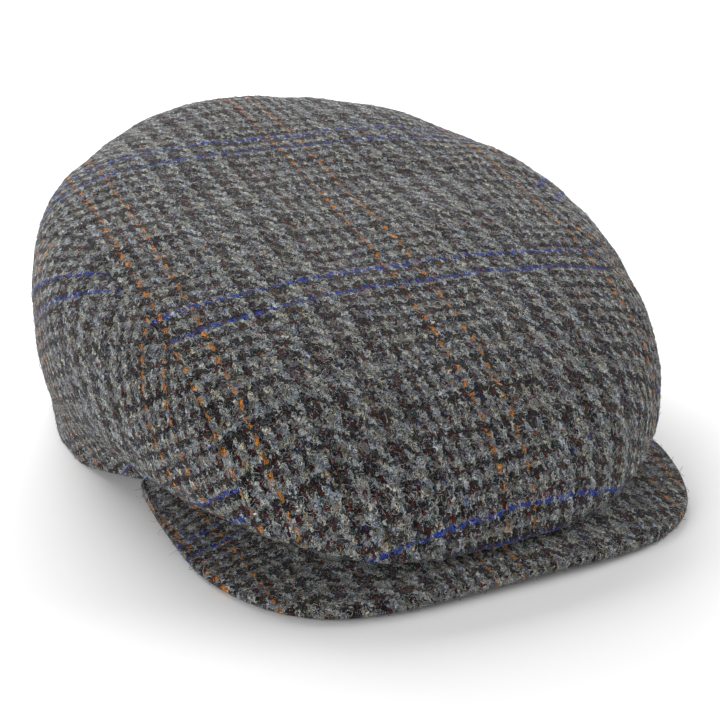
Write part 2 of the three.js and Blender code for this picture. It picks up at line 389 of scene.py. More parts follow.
@dataclass
class ClothMesh:
    """The outer face, inner face and edges of one piece of cloth, gathered as one closed mesh."""

    name: str
    shift: float
    points: list[np.ndarray] = field(default_factory=list)
    places: list[np.ndarray] = field(default_factory=list)
    faces: list[list[int]] = field(default_factory=list)
    count: int = 0

    def add_points(self, points: np.ndarray, places: np.ndarray) -> np.ndarray:
        """Add a block of points.

        Args:
            points: Points in millimetres, before the shift into the frame.
            places: Their places in the woven cloth.

        Returns:
            The points' indices, shaped as the block.
        """
        shape = points.shape[:-1]
        total = int(np.prod(shape))
        self.points.append(points.reshape(-1, 3))
        self.places.append(places.reshape(-1, 2))
        self.count += total
        return np.arange(self.count - total, self.count).reshape(shape)

    def add_grid(self, grid: np.ndarray) -> None:
        """Add the quads of a block of indices with rows and columns."""
        quads = np.stack([grid[:-1, :-1], grid[1:, :-1], grid[1:, 1:], grid[:-1, 1:]], -1)
        self.faces.extend(quads.reshape(-1, 4).tolist())

    def add_strip(self, one: np.ndarray, other: np.ndarray) -> None:
        """Add the quads between two lines of indices of the same length."""
        self.add_grid(np.stack([one, other]))

    def build(self, material: bpy.types.Material, slot: str, *nodes: str) -> bpy.types.Object:
        """Make the object, and put it in the frame in place of CAD nodes.

        Args:
            material: What it is made of.
            slot: The record's material slot; not used.
            nodes: The CAD nodes that it stands for.

        Returns:
            The object.
        """
        points = np.concatenate(self.points)
        points[:, 1] += self.shift
        points[:, 2] = np.maximum(points[:, 2], 0)
        places = np.concatenate(self.places)
        mesh = bpy.data.meshes.new(self.name)
        mesh.from_pydata((points * MM).tolist(), [], self.faces)
        shell = bmesh.new()
        shell.from_mesh(mesh)
        bmesh.ops.recalc_face_normals(shell, faces=shell.faces)
        shell.to_mesh(mesh)
        shell.free()
        corners = np.zeros(len(mesh.loops), np.int32)
        mesh.loops.foreach_get("vertex_index", corners)
        layer = mesh.uv_layers.new(name=CLOTH_MAP)
        layer.data.foreach_set("uv", places[corners].astype(np.float32).ravel())
        mesh.polygons.foreach_set("use_smooth", np.ones(len(mesh.polygons), bool))
        mesh.materials.append(material)
        piece = bpy.data.objects.new(self.name, mesh)
        bpy.context.scene.collection.objects.link(piece)
        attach(piece, "root")
        if nodes:
            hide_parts(*nodes)
        triangles = sum(len(face) - 2 for face in self.faces)
        log.info("%s: %d triangles", self.name, triangles)
        return piece


@dataclass(frozen=True)
class Outside:
    """The outer face of a finished piece, which stray fibres grow from."""

    points: np.ndarray
    normals: np.ndarray
    areas: np.ndarray

    @classmethod
    def of(cls, points: np.ndarray, normals: np.ndarray) -> "Outside":
        """Gather a face from a grid of points.

        Args:
            points: The grid's points, in rows and columns.
            normals: The outward normals at them.

        Returns:
            The points, each with the area of the cloth round it.
        """
        cells = np.cross(points[1:, :-1] - points[:-1, :-1], points[:-1, 1:] - points[:-1, :-1])
        areas = np.zeros(points.shape[:2])
        areas[:-1, :-1] = np.linalg.norm(cells, axis=-1)
        return cls(points.reshape(-1, 3), normals.reshape(-1, 3), areas.ravel())


def border_of(grid: np.ndarray) -> np.ndarray:
    """Give the values round the edge of a grid, once round without repeating the first."""
    return np.concatenate([grid[0, :-1], grid[:-1, -1], grid[-1, :0:-1], grid[:0:-1, 0]])


@dataclass
class TopPanel:
    """The long oval panel from the back of the crown over its top and round under its front fold."""

    crown: Crown
    seam: TopSeam
    hand: Hand
    shift: float
    rings: int = 126
    fine_rings: int = 6
    fine_step: float = 0.42
    inner_rings: int = 14
    rays: int = 720
    ray_samples: int = 160
    front_samples: int = 200
    course: tuple[float, float, float] = (1.5, 0.6, 0.9)
    grain: float = 0.015  # how far off the cap's length the cloth was cut
    drawn: float = 0.0012  # how much closer the warp lies for each millimetre towards the back
    lean: float = 0.115  # how far the weft leans from square across the cap
    skew: float = 0.00098  # how much further it leans for each millimetre towards the back
    warp_pairs: tuple[float, float, float] = (-73.5, 8.0, 82.0)  # middles of the rust pairs on the panel
    weft_pairs: tuple[float, float, float] = (-157.0, -46.0, 54.0)  # middles of the blue pairs

    def border(self, count: int) -> tuple[np.ndarray, np.ndarray]:
        """Give places round the panel's edge from the front, evenly spaced and with the first repeated.

        Args:
            count: How many steps the edge is cut into.

        Returns:
            The places' angles, from 0 to a full turn, and their reaches.
        """
        angle, reach = self.seam.line()
        front = np.linspace(0, angle[0], self.front_samples, endpoint=False)
        angles = np.concatenate([front, angle])
        reaches = np.concatenate([np.full_like(front, 2.0), reach])
        angles = np.concatenate([angles, 2 * math.pi - angles[-2::-1]])
        reaches = np.concatenate([reaches, reaches[-2::-1]])
        length = lengths_along(self.crown.outer(angles, reaches))
        even = np.linspace(0, length[-1], count + 1)
        return np.interp(even, length, angles), np.interp(even, length, reaches)

    def along_ray(self, angle: np.ndarray, edge: np.ndarray, share: np.ndarray) -> np.ndarray:
        """Give the reach at a share of the way from the panel's middle to its edge."""
        return share * ((1 - share) * around(angle, *self.course) + share * edge)

    def woven(self, angle: np.ndarray, distance: np.ndarray) -> np.ndarray:
        """Give places in the woven cloth, which was cut flat and whose warp runs along the cap.

        Args:
            angle: Angles round the head.
            distance: Distance from the middle of the panel, along the cloth.

        Returns:
            Millimetres across the warp and along it.
        """
        crown = self.crown
        edge = oval(angle, crown.width / 2, (crown.front, crown.back), crown.squareness)
        flat = edge / np.linalg.norm(edge, axis=-1, keepdims=True) * distance[..., None]
        across = (flat[..., 0] - self.grain * flat[..., 1]) / (1 - self.drawn * flat[..., 1])
        along = flat[..., 1] + (self.lean + self.skew * flat[..., 1]) * flat[..., 0]
        repeats = (-1, 0, 1)
        return CHECK.woven(np.polyval(np.polyfit(self.warp_pairs, repeats, 2), across),
                           np.polyval(np.polyfit(self.weft_pairs, repeats, 2), along))

    def build(self, material: bpy.types.Material) -> Outside:
        """Make the panel.

        Args:
            material: Its cloth.

        Returns:
            Its outer face.
        """
        crown, rings = self.crown, self.rings
        ray_angle, ray_edge = self.border(self.rays)
        shares = np.linspace(0, 1, self.ray_samples)[None, :]
        angles = np.repeat(ray_angle[:, None], self.ray_samples, 1)
        reaches = self.along_ray(angles, ray_edge[:, None], shares)
        measured = lengths_along(crown.outer(angles, reaches))
        total = measured[:, -1]
        even = np.linspace(0, 1, self.ray_samples)
        share_at = np.stack([np.interp(even, row / row[-1], shares[0]) for row in measured])

        column, row = np.meshgrid(np.arange(-rings, rings + 1), np.arange(-rings, rings + 1))
        ring = np.maximum(np.abs(column), np.abs(row))
        safe = np.maximum(ring, 1)
        right, top, left = (np.abs(row) <= column), (row >= np.abs(column)), (np.abs(row) <= -column)
        course = np.select([right, top, left], [1 + row / safe, 3 - column / safe, 5 - row / safe],
                           7 + column / safe)
        ray = np.where(ring == 0, 0, course / 8) * self.rays
        first = np.minimum(ray.astype(int), self.rays - 1)
        part = ray - first
        length = total[first] * (1 - part) + total[first + 1] * part
        fine = self.fine_rings * self.fine_step
        coarse_rings = rings - self.fine_rings
        distance = np.where(ring <= coarse_rings, (length - fine) * ring / coarse_rings,
                            length - (rings - ring) * self.fine_step)
        place = distance / length * (self.ray_samples - 1)
        low = np.minimum(place.astype(int), self.ray_samples - 2)
        over = place - low
        share = sum(weight * share_at[first + a, low + b] for a, b, weight in (
            (0, 0, (1 - part) * (1 - over)), (1, 0, part * (1 - over)), (0, 1, (1 - part) * over),
            (1, 1, part * over)))
        angle = ray_angle[first] * (1 - part) + ray_angle[first + 1] * part
        edge = ray_edge[first] * (1 - part) + ray_edge[first + 1] * part
        reach = np.minimum(self.along_ray(angle, edge, share), 2)

        face = crown.outer(angle, reach)
        normal = crown.normal(angle, reach)
        raised = self.hand.unevenness(face) - self.hand.roll(length - distance)
        shell = ClothMesh("crown_top_cloth", self.shift)
        woven = self.woven(angle, distance)
        outside = face + normal * raised[..., None]
        grid = shell.add_points(outside, woven)
        shell.add_grid(grid)

        loop = border_of(grid)
        loop_angle, loop_edge, loop_length = border_of(angle), border_of(edge), border_of(length)
        last = loop
        for step in range(self.inner_rings):
            inward = 1 - step / self.inner_rings
            ring_reach = np.minimum(self.along_ray(loop_angle, loop_edge, np.full_like(loop_edge, inward)), 2)
            inner = crown.inner(loop_angle, ring_reach)
            line = shell.add_points(inner, self.woven(loop_angle, loop_length * inward))
            shell.add_strip(np.append(last, last[0]), np.append(line, line[0]))
            last = line
        middle = shell.add_points(crown.inner(np.zeros(1), np.zeros(1)), np.zeros((1, 2)))
        shell.faces.extend([[int(a), int(b), int(middle[0])] for a, b in zip(last, np.roll(last, -1))])
        shell.build(material, "crown_tweed", "top_panel")
        return Outside.of(outside, normal)


@dataclass
class SidePanel:
    """The cloth of one side and half of the back, from the top seam down to the rim."""

    crown: Crown
    seam: TopSeam
    hand: Hand
    shift: float
    side: Side
    columns: int = 330
    rows: int = 72
    fine: int = 5
    fine_step: float = 0.42
    tip: float = 7.0  # how far along the seam from the rim the panel starts
    gap: float = 0.03
    samples: int = 140
    grain: float = math.radians(40.5)  # the panel is cut on the cross
    warp_pair: float = 89.2
    weft_pair: float = -153.5

    def build(self, material: bpy.types.Material) -> Outside:
        """Make the panel.

        Args:
            material: Its cloth.

        Returns:
            Its outer face.
        """
        crown = self.crown
        seam_angle, seam_reach = self.seam.line()
        seam_length = lengths_along(crown.outer(seam_angle, seam_reach))
        back_end = seam_length[-1]
        fine = self.fine * self.fine_step
        coarse = np.linspace(self.tip, back_end - fine, self.columns - self.fine, endpoint=False)
        place = np.concatenate([coarse, np.linspace(back_end - fine, back_end, self.fine + 1)])
        angle = np.interp(place, seam_length, seam_angle)
        angle = np.minimum(angle, math.pi - self.gap / 2 / crown.back)
        top = np.interp(place, seam_length, seam_reach)

        upper = np.minimum(top, 1)
        shares = np.linspace(0, 1, self.samples)
        ladder = upper[:, None] + (2 - upper[:, None]) * shares
        measured = lengths_along(crown.outer(np.repeat(angle[:, None], self.samples, 1), ladder))
        begin = np.array([np.interp(at, *pair) for at, *pair in zip(top, ladder, measured)]) + self.gap
        widest = np.array([np.interp(1, *pair) for pair in zip(ladder, measured)])
        down = measured[:, -1] - begin

        row = np.arange(self.rows + 1)[None, :]
        fine_step = np.minimum(self.fine_step, down / self.rows)[:, None]
        middle = (down[:, None] - 2 * self.fine * fine_step) / (self.rows - 2 * self.fine)
        distance = (np.minimum(row, self.fine) * fine_step
                    + np.clip(row - self.fine, 0, self.rows - 2 * self.fine) * middle
                    + np.clip(row - self.rows + self.fine, 0, None) * fine_step)
        along = begin[:, None] + distance
        reach = np.stack([np.interp(at, line, steps) for at, line, steps in zip(along, measured, ladder)])
        angles = np.repeat(angle[:, None], self.rows + 1, 1)

        face = crown.outer(angles, reach)
        normal = crown.normal(angles, reach)
        to_edge = np.minimum(np.minimum(distance, down[:, None] - distance), (back_end - place)[:, None])
        raised = self.hand.unevenness(face) - self.hand.roll(to_edge)
        outside = face + normal * raised[..., None]
        inside = crown.inner(angles, reach)
        hip = np.linspace(0, math.pi, 4 * self.samples)
        hip_length = lengths_along(crown.outer(hip, np.ones_like(hip)))
        lowered, passed = along - widest[:, None], np.interp(angles, hip, hip_length)
        cosine, sine = math.cos(self.grain), math.sin(self.grain)
        across = passed * cosine + lowered * sine - self.warp_pair
        upward = lowered * cosine - passed * sine - self.weft_pair
        woven = CHECK.woven(across / CHECK.warp_pitch / CHECK.repeat,
                            upward / CHECK.weft_pitch / CHECK.repeat)
        facing = np.array([self.side.value, 1, 1])
        outside, inside, normal = outside * facing, inside * facing, normal * facing

        shell = ClothMesh(f"crown_{self.side.name.lower()}_cloth", self.shift)
        front, back = shell.add_points(outside, woven), shell.add_points(inside, woven)
        shell.add_grid(front)
        shell.add_grid(back)
        for edge in (np.s_[:, 0], np.s_[:, -1], np.s_[0, :], np.s_[-1, :]):
            shell.add_strip(front[edge], back[edge])
        shell.build(material, "crown_tweed", f"side_panel_{self.side.name.lower()}")
        return Outside.of(outside, normal)


@dataclass
class Peak:
    """The stiffened peak under the front of the rim, with the same sizes as the frame."""

    crown: Crown
    hand: Hand
    shift: float
    thickness: float = 4.6
    width: float = 189.1
    reach: float = 60.7
    arch: float = 2.6
    arch_span: float = 0.9
    press: float = 0.6
    arch_power: float = 1.5
    flare: tuple[float, float] = (2.0, 0.7)  # how soon the outline reaches its full width from the corners
    dip_power: float = 2.5
    squareness: float = 3.74
    corner_angle: float = math.radians(64.4)
    gap: float = 0.3
    columns: int = 300
    rows: int = 54
    edge_steps: int = 12
    step: float = 1e-3
    warp_pair: float = -84.5
    weft_pair: float = -90.8

    def sheet(self, share: np.ndarray, out: np.ndarray) -> np.ndarray:
        """Give points of the peak's middle sheet.

        Args:
            share: Places from the wearer's right corner, -1, to the left one, 1.
            out: Places from the inner edge, 0, to the free edge, 1.

        Returns:
            Points in millimetres.
        """
        crown = self.crown
        seat = self.gap + self.thickness / 2
        inner = crown.rim(share * self.corner_angle, crown.cloth) - np.array([0, 0, seat])
        corner = crown.rim(np.array(self.corner_angle), -self.gap)
        turn = share * math.pi / 2
        across = np.sign(share) * np.abs(np.sin(turn)) ** (2 / self.squareness)
        forward = np.maximum(np.cos(turn), 0) ** (2 / self.squareness)
        flare = np.minimum(forward * self.flare[0], 1) ** self.flare[1]
        arch = np.maximum(0, 1 - (across / self.arch_span) ** 2) ** self.arch_power
        low = self.thickness / 2 - self.press
        front = -crown.head_length / 2 - self.reach
        outer = np.stack([
            across * (corner[0] + (self.width / 2 - corner[0]) * flare),
            corner[1] + (front - corner[1]) * forward,
            low + (corner[2] - seat - low) * (1 - forward) ** self.dip_power + self.arch * arch,
        ], -1)
        return inner + (outer - inner) * out[..., None]

    def section(self) -> tuple[np.ndarray, np.ndarray, np.ndarray]:
        """Give the section's rows, from the inner edge over the top, round the free edge and back below.

        Returns:
            How far out each row is, how far it rolls past that, and how far above the sheet it lies, where
            the last two are shares of half the thickness.
        """
        out = np.linspace(0, 1, self.rows)
        turn = np.linspace(math.pi / 2, -math.pi / 2, self.edge_steps + 2)[1:-1]
        level = np.zeros(self.rows)
        return (np.concatenate([out, np.ones_like(turn), out[::-1]]),
                np.concatenate([level, np.cos(turn), level]),
                np.concatenate([level + 1, np.sin(turn), level - 1]))

    def build(self, material: bpy.types.Material) -> Outside:
        """Make the peak.

        Args:
            material: Its cloth.

        Returns:
            The face of its top and of its free edge.
        """
        half = self.thickness / 2
        fine = np.linspace(-1, 1, 10 * self.columns)
        edge_length = lengths_along(self.sheet(fine, np.ones_like(fine)))
        share = np.interp(np.linspace(0, edge_length[-1], self.columns + 1), edge_length, fine)[:, None]
        inner, outer = self.sheet(share, np.zeros_like(share)), self.sheet(share, np.ones_like(share))
        width = np.linalg.norm(outer - inner, axis=-1)
        outward = (outer - inner) / width[..., None]
        out, roll, above = (line[None, :] for line in self.section())
        place = out * (1 - half / width)
        shares = np.repeat(share, place.shape[1], 1)
        left, right = np.maximum(shares - self.step, -1), np.minimum(shares + self.step, 1)
        along = self.sheet(right, place) - self.sheet(left, place)
        normal = np.cross(np.broadcast_to(outward, along.shape), along)
        normal /= np.linalg.norm(normal, axis=-1, keepdims=True)
        facing = outward * roll[..., None] + normal * above[..., None]
        facing /= np.linalg.norm(facing, axis=-1, keepdims=True)
        points = self.sheet(shares, place) + half * (outward * roll[..., None] + normal * above[..., None])
        points = points + facing * (self.hand.unevenness(points) * self.hand.stiff)[..., None]
        points[..., 2] = np.maximum(points[..., 2], 0)
        # The cloth below is cut as the cloth above, so its check is counted back from the free edge
        walked = lengths_along(points)
        halfway = walked[:, walked.shape[1] // 2, None]
        folded = halfway - np.abs(walked - halfway)
        laid = inner[..., :2] + outward[..., :2] * folded[..., None]
        woven = CHECK.woven((laid[..., 0] - self.warp_pair) / CHECK.warp_pitch / CHECK.repeat,
                            (laid[..., 1] - self.weft_pair) / CHECK.weft_pitch / CHECK.repeat)

        shell = ClothMesh("peak_cloth", self.shift)
        grid = shell.add_points(points, woven)
        shell.add_grid(np.concatenate([grid, grid[:, :1]], 1))
        count = grid.shape[1]
        for end in (grid[0], grid[-1]):
            shell.add_strip(end[: count // 2], end[: count // 2 - 1 : -1])
        shell.build(material, "peak_tweed", "peak")
        shown = self.rows + self.edge_steps
        return Outside.of(points[:, :shown], facing[:, :shown])


@dataclass(frozen=True)
class StrayFibres:
    """Loose wool fibres that curl out of the cloth's face, each a thin closed hair rooted in it.

    Wool is about 0.03 mm thick. These are drawn coarser, so that they show at the camera's distance.
    """

    name: str
    count: int
    seed: int
    radius: float = 0.075
    shortest: float = 1.0
    longest: float = 4.6
    long_rarity: float = 3.0
    highest: float = 0.5
    least_height: float = 0.25  # as a share of the highest
    height_rarity: float = 2.0
    rise_power: float = 0.8
    root: float = 0.3
    curl: float = 2.8
    steps: int = 5
    sides: int = 3
    lying: float = 0.7  # the share of fibres that lie down again at their tips

    def build(self, outside: Outside, shift: float, material: bpy.types.Material, slot: str) -> None:
        """Make the fibres as one piece.

        Args:
            outside: The face that they grow from.
            shift: The frame's shift along Y.
            material: The fibres' wool.
            slot: The record's material slot; not used.
        """
        rng = np.random.default_rng(self.seed)
        rooted = rng.choice(len(outside.areas), self.count, p=outside.areas / outside.areas.sum())
        base, up = outside.points[rooted], outside.normals[rooted]
        ahead = np.cross(up, rng.normal(size=up.shape))
        ahead /= np.linalg.norm(ahead, axis=1, keepdims=True)
        aside = np.cross(up, ahead)
        longness = rng.uniform(size=self.count) ** self.long_rarity
        length = self.shortest + (self.longest - self.shortest) * longness
        share = np.linspace(0, 1, self.steps)[None, :]
        heading = rng.normal(0, self.curl, self.count)[:, None] * share
        stride = (length / (self.steps - 1))[:, None]
        forward = np.cumsum(np.cos(heading) * stride, 1) - stride
        sideways = np.cumsum(np.sin(heading) * stride, 1)
        tallness = rng.uniform(self.least_height, 1, self.count) ** self.height_rarity
        highest = (self.root + self.highest * tallness)[:, None]
        lying = (rng.uniform(size=self.count) < self.lying)[:, None]
        height = highest * np.where(lying, np.sin(math.pi * share), share**self.rise_power) - self.root
        path = (base[:, None] + ahead[:, None] * forward[..., None] + aside[:, None] * sideways[..., None]
                + up[:, None] * height[..., None])
        along = np.gradient(path, axis=1)
        along /= np.linalg.norm(along, axis=-1, keepdims=True)
        level = np.cross(np.broadcast_to(up[:, None], along.shape), along)
        level /= np.maximum(np.linalg.norm(level, axis=-1, keepdims=True), 1e-6)
        rise = np.cross(along, level)
        turn = np.arange(self.sides) * 2 * math.pi / self.sides
        round_it = (level[:, :, None] * np.cos(turn)[:, None] + rise[:, :, None] * np.sin(turn)[:, None])
        points = path[:, :, None] + round_it * self.radius
        points = points.reshape(-1, 3) + np.array([0, shift, 0])
        points[:, 2] = np.maximum(points[:, 2], 0)
        places = np.arange(self.count * self.steps * self.sides).reshape(self.count, self.steps, self.sides)
        turned = np.roll(places, -1, axis=2)
        quads = np.stack([places[:, :-1], turned[:, :-1], turned[:, 1:], places[:, 1:]], -1).reshape(-1, 4)
        faces = quads.tolist() + places[:, 0, ::-1].tolist() + places[:, -1].tolist()
        mesh = bpy.data.meshes.new(self.name)
        mesh.from_pydata((points * MM).tolist(), [], faces)
        tone = mesh.attributes.new(TONE, "FLOAT", "POINT")
        each = np.repeat(rng.uniform(size=self.count), self.steps * self.sides)
        tone.data.foreach_set("value", each.astype(np.float32))
        mesh.polygons.foreach_set("use_smooth", np.ones(len(mesh.polygons), bool))
        mesh.materials.append(material)
        piece = bpy.data.objects.new(self.name, mesh)
        bpy.context.scene.collection.objects.link(piece)
        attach(piece, "root")
        log.info("%s: %d fibres, %d triangles", self.name, self.count, 2 * len(quads) + 2 * self.count)


def add_node(tree: bpy.types.NodeTree, kind: str, settings: dict | None = None,
             inputs: dict | None = None) -> bpy.types.Node:
    """Add a node to a material.

    Args:
        tree: The node tree.
        kind: The node's type.
        settings: Properties to set on it.
        inputs: Values or other nodes' outputs for its input sockets.

    Returns:
        The node.
    """
    node = tree.nodes.new(kind)
    for name, value in (settings or {}).items():
        setattr(node, name, value)
    for name, value in (inputs or {}).items():
        if isinstance(value, bpy.types.NodeSocket):
            tree.links.new(value, node.inputs[name])
        else:
            node.inputs[name].default_value = value
    return node


def ranged(value: bpy.types.NodeSocket, span: tuple[float, float, float, float]) -> dict:
    """Name a range node's inputs: the value, where it starts and ends, and what it becomes at both."""
    return dict(zip(("Value", "From Min", "From Max", "To Min", "To Max"), (value, *span)))


def fill_ramp(ramp: bpy.types.ColorRamp, stops: list[tuple[float, str]], clear: str = "") -> None:
    """Set a colour ramp's stops, each of which holds until the next.

    Args:
        ramp: The ramp.
        stops: Places from 0 to 1 with their hex colours, in order.
        clear: A colour that the ramp marks with an alpha of 0, where there is one.
    """
    ramp.interpolation = "CONSTANT"
    while len(ramp.elements) < len(stops):
        ramp.elements.new(1.0)
    for element, (place, code) in zip(ramp.elements, stops):
        element.position = place
        element.color = (*linear(code)[:3], 0.0 if code == clear else 1.0)


def new_material(name: str) -> tuple[bpy.types.Material, bpy.types.NodeTree, bpy.types.Node]:
    """Start a material with an empty tree and an output.

    Args:
        name: The material's name.

    Returns:
        The material, its node tree and its output node.
    """
    material = bpy.data.materials.new(name)
    material.use_nodes = True
    tree = material.node_tree
    tree.nodes.clear()
    return material, tree, add_node(tree, "ShaderNodeOutputMaterial")


@dataclass(frozen=True)
class Tweed:
    """Woollen tweed, woven in a 2/2 twill from carded heather yarn, then milled.

    Coarse stripes of four dark and four pale threads alternate with fine ones of two and two, both ways,
    which gives the broad glen check. A pair of rust threads in the warp and of blue ones in the weft lies
    over the fine stripes, and every other dark warp thread is wine red. Milling felts the face, so loose
    fibres of every carded colour lie over the weave, soften the check and give a matt salt and pepper.
    Painted shade darkens each thread at its sides and lies in near-black patches in the gaps between threads.
    """

    name: str
    check: Check = CHECK
    pale: tuple[str, str] = ("#8f9295", "#66686b")  # warp and weft, of which the warp shows stronger
    dark: tuple[str, str] = ("#111113", "#262629")
    wine: str = "#381215"
    cool: str = "#c6d2e6"  # the greys were carded from bluish and from yellowish wool
    warm: str = "#eee2ba"
    rust: str = "#a4661f"
    blue: str = "#1a3590"
    # painted shade: the near-black of the gaps between threads
    gap_shade_colour: str = "#0c0c0e"
    fibre_width: float = 0.27  # drawn coarser than wool's 0.03 mm, so that it shows at this distance
    fibre_length: float = 2.2
    patch: float = 0.95  # how far fibres lie alike
    layers: tuple[float, float, float] = (0.0, 71.0, 143.0)  # where each layer's pattern is taken from
    wander: tuple[tuple[float, float, float], ...] = (
        (0.13, 1.0, 1.8), (0.7, 2.0, 3.2),  # scale, detail and span of the yarn's long waves and its fraying
    )
    side_shade_and_relief: float = 0.35  # painted shade: how much darker a thread is at its sides, where it rounds away; it lowers the thread's relief there too
    bright_cover: float = 0.6  # how much of the usual cover, painted gap shade and loose fibres, the overcheck's threads get
    heather: tuple[float, float, float, float] = (0.4, 0.64, 0.03, 3.3)
    # where the painted gap shade starts and how dark it gets
    gap_shade: tuple[float, float, float, float] = (0.53, 0.59, 0.0, 0.88)
    lying: tuple[float, float, float, float] = (0.56, 0.62, 0.0, 0.9)
    milling_scale: float = 0.16
    milling: float = 0.3  # how unevenly the loose fibres are matted
    thread_relief: float = 0.6
    relief: float = 0.4
    relief_strength: float = 0.7
    carded: tuple[tuple[float, str], ...] = (
        (0.0, "#8a929b"), (0.3, "#55575a"), (0.5, "#a9acad"), (0.7, "#726d4c"), (0.84, "#6e2220"),
        (0.93, "#8f5420"), (0.96, "#2d6661"), (0.985, "#2a459c"),
    )

    def fibres(self, tree: bpy.types.NodeTree, cloth: bpy.types.NodeSocket,
               away: float) -> tuple[bpy.types.NodeSocket, bpy.types.NodeSocket]:
        """Add a layer of short fibres that lie every way.

        Args:
            tree: The material's nodes.
            cloth: The place in the cloth in millimetres.
            away: How far off to take the pattern from, so that no two layers are alike.

        Returns:
            How high a fibre is, around a half, and a number that differs from tuft to tuft.
        """
        add = partial(add_node, tree)
        moved = add("ShaderNodeVectorMath", {"operation": "ADD"}, {0: cloth, 1: (away, away, 0)})
        tufts = add("ShaderNodeTexVoronoi", None, {"Vector": moved.outputs[0], "Scale": 1 / self.patch})
        chance = add("ShaderNodeSeparateColor", None, {0: tufts.outputs["Color"]})
        lie = add("ShaderNodeMath", {"operation": "MULTIPLY"}, {0: chance.outputs[0], 1: math.pi})
        turned = add("ShaderNodeVectorRotate", {"rotation_type": "Z_AXIS"},
                     {"Vector": moved.outputs[0], "Angle": lie.outputs[0]})
        drawn = add("ShaderNodeVectorMath", {"operation": "MULTIPLY"},
                    {0: turned.outputs[0], 1: (1 / self.fibre_width, 1 / self.fibre_length, 1)})
        noise = add("ShaderNodeTexNoise", None,
                    {"Vector": drawn.outputs[0], "Scale": 1.0, "Detail": 1.0, "Roughness": 0.6})
        return noise.outputs["Fac"], chance.outputs[1]

    def material(self) -> bpy.types.Material:
        """Make the material."""
        made, tree, output = new_material(self.name)
        add = partial(add_node, tree)
        math_node, vector_node, mix_node = "ShaderNodeMath", "ShaderNodeVectorMath", "ShaderNodeMix"
        noise_node, range_node = "ShaderNodeTexNoise", "ShaderNodeMapRange"
        flat = add("ShaderNodeUVMap", {"uv_map": CLOTH_MAP}).outputs["UV"]

        # The yarn wanders in long waves and frays in short ones
        cloth = flat
        for scale, detail, span in self.wander:
            noise = add(noise_node, None, {"Vector": flat, "Scale": scale, "Detail": detail})
            centred = add(vector_node, {"operation": "SUBTRACT"},
                          {0: noise.outputs["Color"], 1: (0.5, 0.5, 0.5)})
            cloth = add(vector_node, {"operation": "MULTIPLY_ADD"},
                        {0: centred.outputs[0], 1: (span, span, 0), 2: cloth}).outputs[0]

        check, repeat = self.check, self.check.repeat
        threads = add(vector_node, {"operation": "MULTIPLY"},
                      {0: cloth, 1: (1 / check.warp_pitch, 1 / check.weft_pitch, 1)})
        counted = add("ShaderNodeSeparateXYZ", None, {0: threads.outputs[0]})
        number, crossing, colours, plain = [], [], [], []
        for axis, apart, pale, darks, bright in zip(
                "XY", check.overcheck_apart, self.pale,
                ((self.dark[0], self.wine), (self.dark[1], self.dark[1])), (self.rust, self.blue)):
            whole = add(math_node, {"operation": "FLOOR"}, {0: counted.outputs[axis]}).outputs[0]
            number.append(whole)
            crossing.append(add(math_node, {"operation": "FRACT"}, {0: counted.outputs[axis]}).outputs[0])
            place = add(math_node, {"operation": "FLOORED_MODULO"}, {0: whole, 1: repeat})
            share = add(math_node, {"operation": "MULTIPLY_ADD"},
                        {0: place.outputs[0], 1: 1 / repeat, 2: 0.5 / repeat})
            pair = []
            for dark in darks:
                plan = add("ShaderNodeValToRGB", None, {"Fac": share.outputs[0]})
                fill_ramp(plan.color_ramp, check.order(apart, pale, dark, bright), clear=bright)
                pair.append(plan.outputs[0])
            plain.append(plan.outputs["Alpha"])
            odd = add(math_node, {"operation": "FLOORED_MODULO"}, {0: whole, 1: 2.0})
            colours.append(add(mix_node, {"data_type": "RGBA"},
                               {0: odd.outputs[0], 6: pair[0], 7: pair[1]}).outputs[2])

        # Each thread goes over two and under two, one step on at each crossing, but a blue one over three
        diagonal = add(math_node, {"operation": "ADD"}, {0: number[0], 1: number[1]})
        step = add(math_node, {"operation": "FLOORED_MODULO"}, {0: diagonal.outputs[0], 1: 4.0})
        over = add(math_node, {"operation": "ADD"}, {0: plain[1], 1: 1.0})
        warp_up = add(math_node, {"operation": "LESS_THAN"},
                      {0: step.outputs[0], 1: over.outputs[0]}).outputs[0]
        yarn = add(mix_node, {"data_type": "RGBA"}, {0: warp_up, 6: colours[1], 7: colours[0]})
        # How much painted gap shade and how many loose fibres a thread gets, fewer on the overcheck's threads
        covered = add(mix_node, {"data_type": "FLOAT"}, {0: warp_up, 2: plain[1], 3: plain[0]})
        cover = add(range_node, None, ranged(covered.outputs[0], (0.0, 1.0, self.bright_cover, 1.0)))
        # Each thread's roundness across it: painted shade at its sides, and the relief of its bump
        across = add(mix_node, {"data_type": "FLOAT"}, {0: warp_up, 2: crossing[1], 3: crossing[0]})
        centre = add(math_node, {"operation": "MULTIPLY_ADD"}, {0: across.outputs[0], 1: 2.0, 2: -1.0})
        edge = add(math_node, {"operation": "MULTIPLY"}, {0: centre.outputs[0], 1: centre.outputs[0]})
        round_it = add(math_node, {"operation": "MULTIPLY_ADD"},
                       {0: edge.outputs[0], 1: -self.side_shade_and_relief, 2: 1.0})
